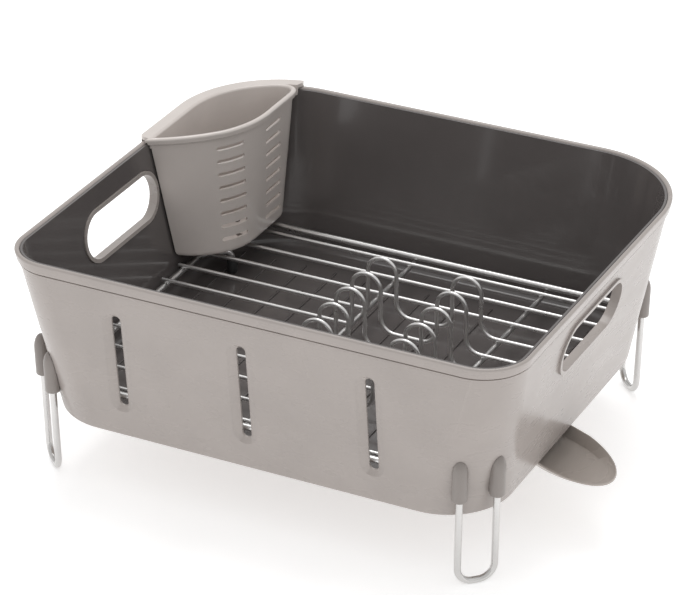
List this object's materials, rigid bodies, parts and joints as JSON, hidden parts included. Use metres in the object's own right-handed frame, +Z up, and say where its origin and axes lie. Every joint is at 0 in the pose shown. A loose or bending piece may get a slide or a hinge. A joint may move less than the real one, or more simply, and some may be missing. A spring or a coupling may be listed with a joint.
{
  "type": "dish drying rack",
  "caption": "Moulded tub on wire feet, with a drip tray, a lift-out wire rack with plate fins, a hook-on utensil holder and a swivel drain spout.",
  "frame": {"origin": "the middle of the whole rack's plan, on the surface that its feet stand on", "axes": "+X to the user's right along the tub's long side, towards the spout; +Y towards the back; +Z up"},
  "size_m": [0.421, 0.3476, 0.1844],
  "materials": {
    "shell": "smooth warm light grey, semi-gloss",
    "tray": "smooth dark grey, glossy",
    "holder": "smooth warm light grey, glossy",
    "spout": "smooth warm grey, semi-gloss",
    "socket": "satin warm grey",
    "wire": "bright polished steel",
    "foot_wire": "satin polished steel",
    "strainer": "satin steel",
    "rubber": "matt dark rubber"
  },
  "bodies": {
    "tub": {"drain_collar": "spout", "drain_grate": "strainer", "drain_seal": "rubber", "drip_tray": "tray", "foot_back_left": "foot_wire", "foot_back_right": "foot_wire", "foot_front_left": "foot_wire", "foot_front_right": "foot_wire", "foot_socket_back_left_a": "socket", "foot_socket_back_left_b": "socket", "foot_socket_back_right_a": "socket", "foot_socket_back_right_b": "socket", "foot_socket_front_left_a": "socket", "foot_socket_front_left_b": "socket", "foot_socket_front_right_a": "socket", "foot_socket_front_right_b": "socket", "outer_shell": "shell", "spout_snap_ring": "strainer"},
    "wire_rack": {"cross_wire_left": "wire", "cross_wire_right": "wire", "edge_wire_back": "wire", "edge_wire_front": "wire", "end_wire_left": "wire", "end_wire_right": "wire", "finned_wire_04": "wire", "finned_wire_05": "wire", "finned_wire_06": "wire", "finned_wire_07": "wire", "finned_wire_08": "wire", "finned_wire_09": "wire", "finned_wire_10": "wire", "leg_cap_back_left": "rubber", "leg_cap_back_right": "rubber", "leg_cap_front_left": "rubber", "leg_cap_front_right": "rubber", "plain_wire_01": "wire", "plain_wire_02": "wire", "plain_wire_03": "wire", "plain_wire_11": "wire"},
    "utensil_holder": {"utensil_holder": "holder"},
    "spout": {"spout": "spout"}
  },
  "joints": [
    {"name": "rack_lift", "type": "slide", "parent": "tub", "child": "wire_rack", "axis": [0, 0, 1], "range_m": [0, 0.13]},
    {"name": "holder_lift", "type": "slide", "parent": "wire_rack", "child": "utensil_holder", "axis": [0, 0, 1], "range_m": [0, 0.11]},
    {"name": "spout_swivel", "type": "hinge", "parent": "tub", "child": "spout", "pos_m": [0.12372, -0.00948, 0.0495], "axis": [0, 0, 1], "range_deg": [-58, 122]}
  ]
}
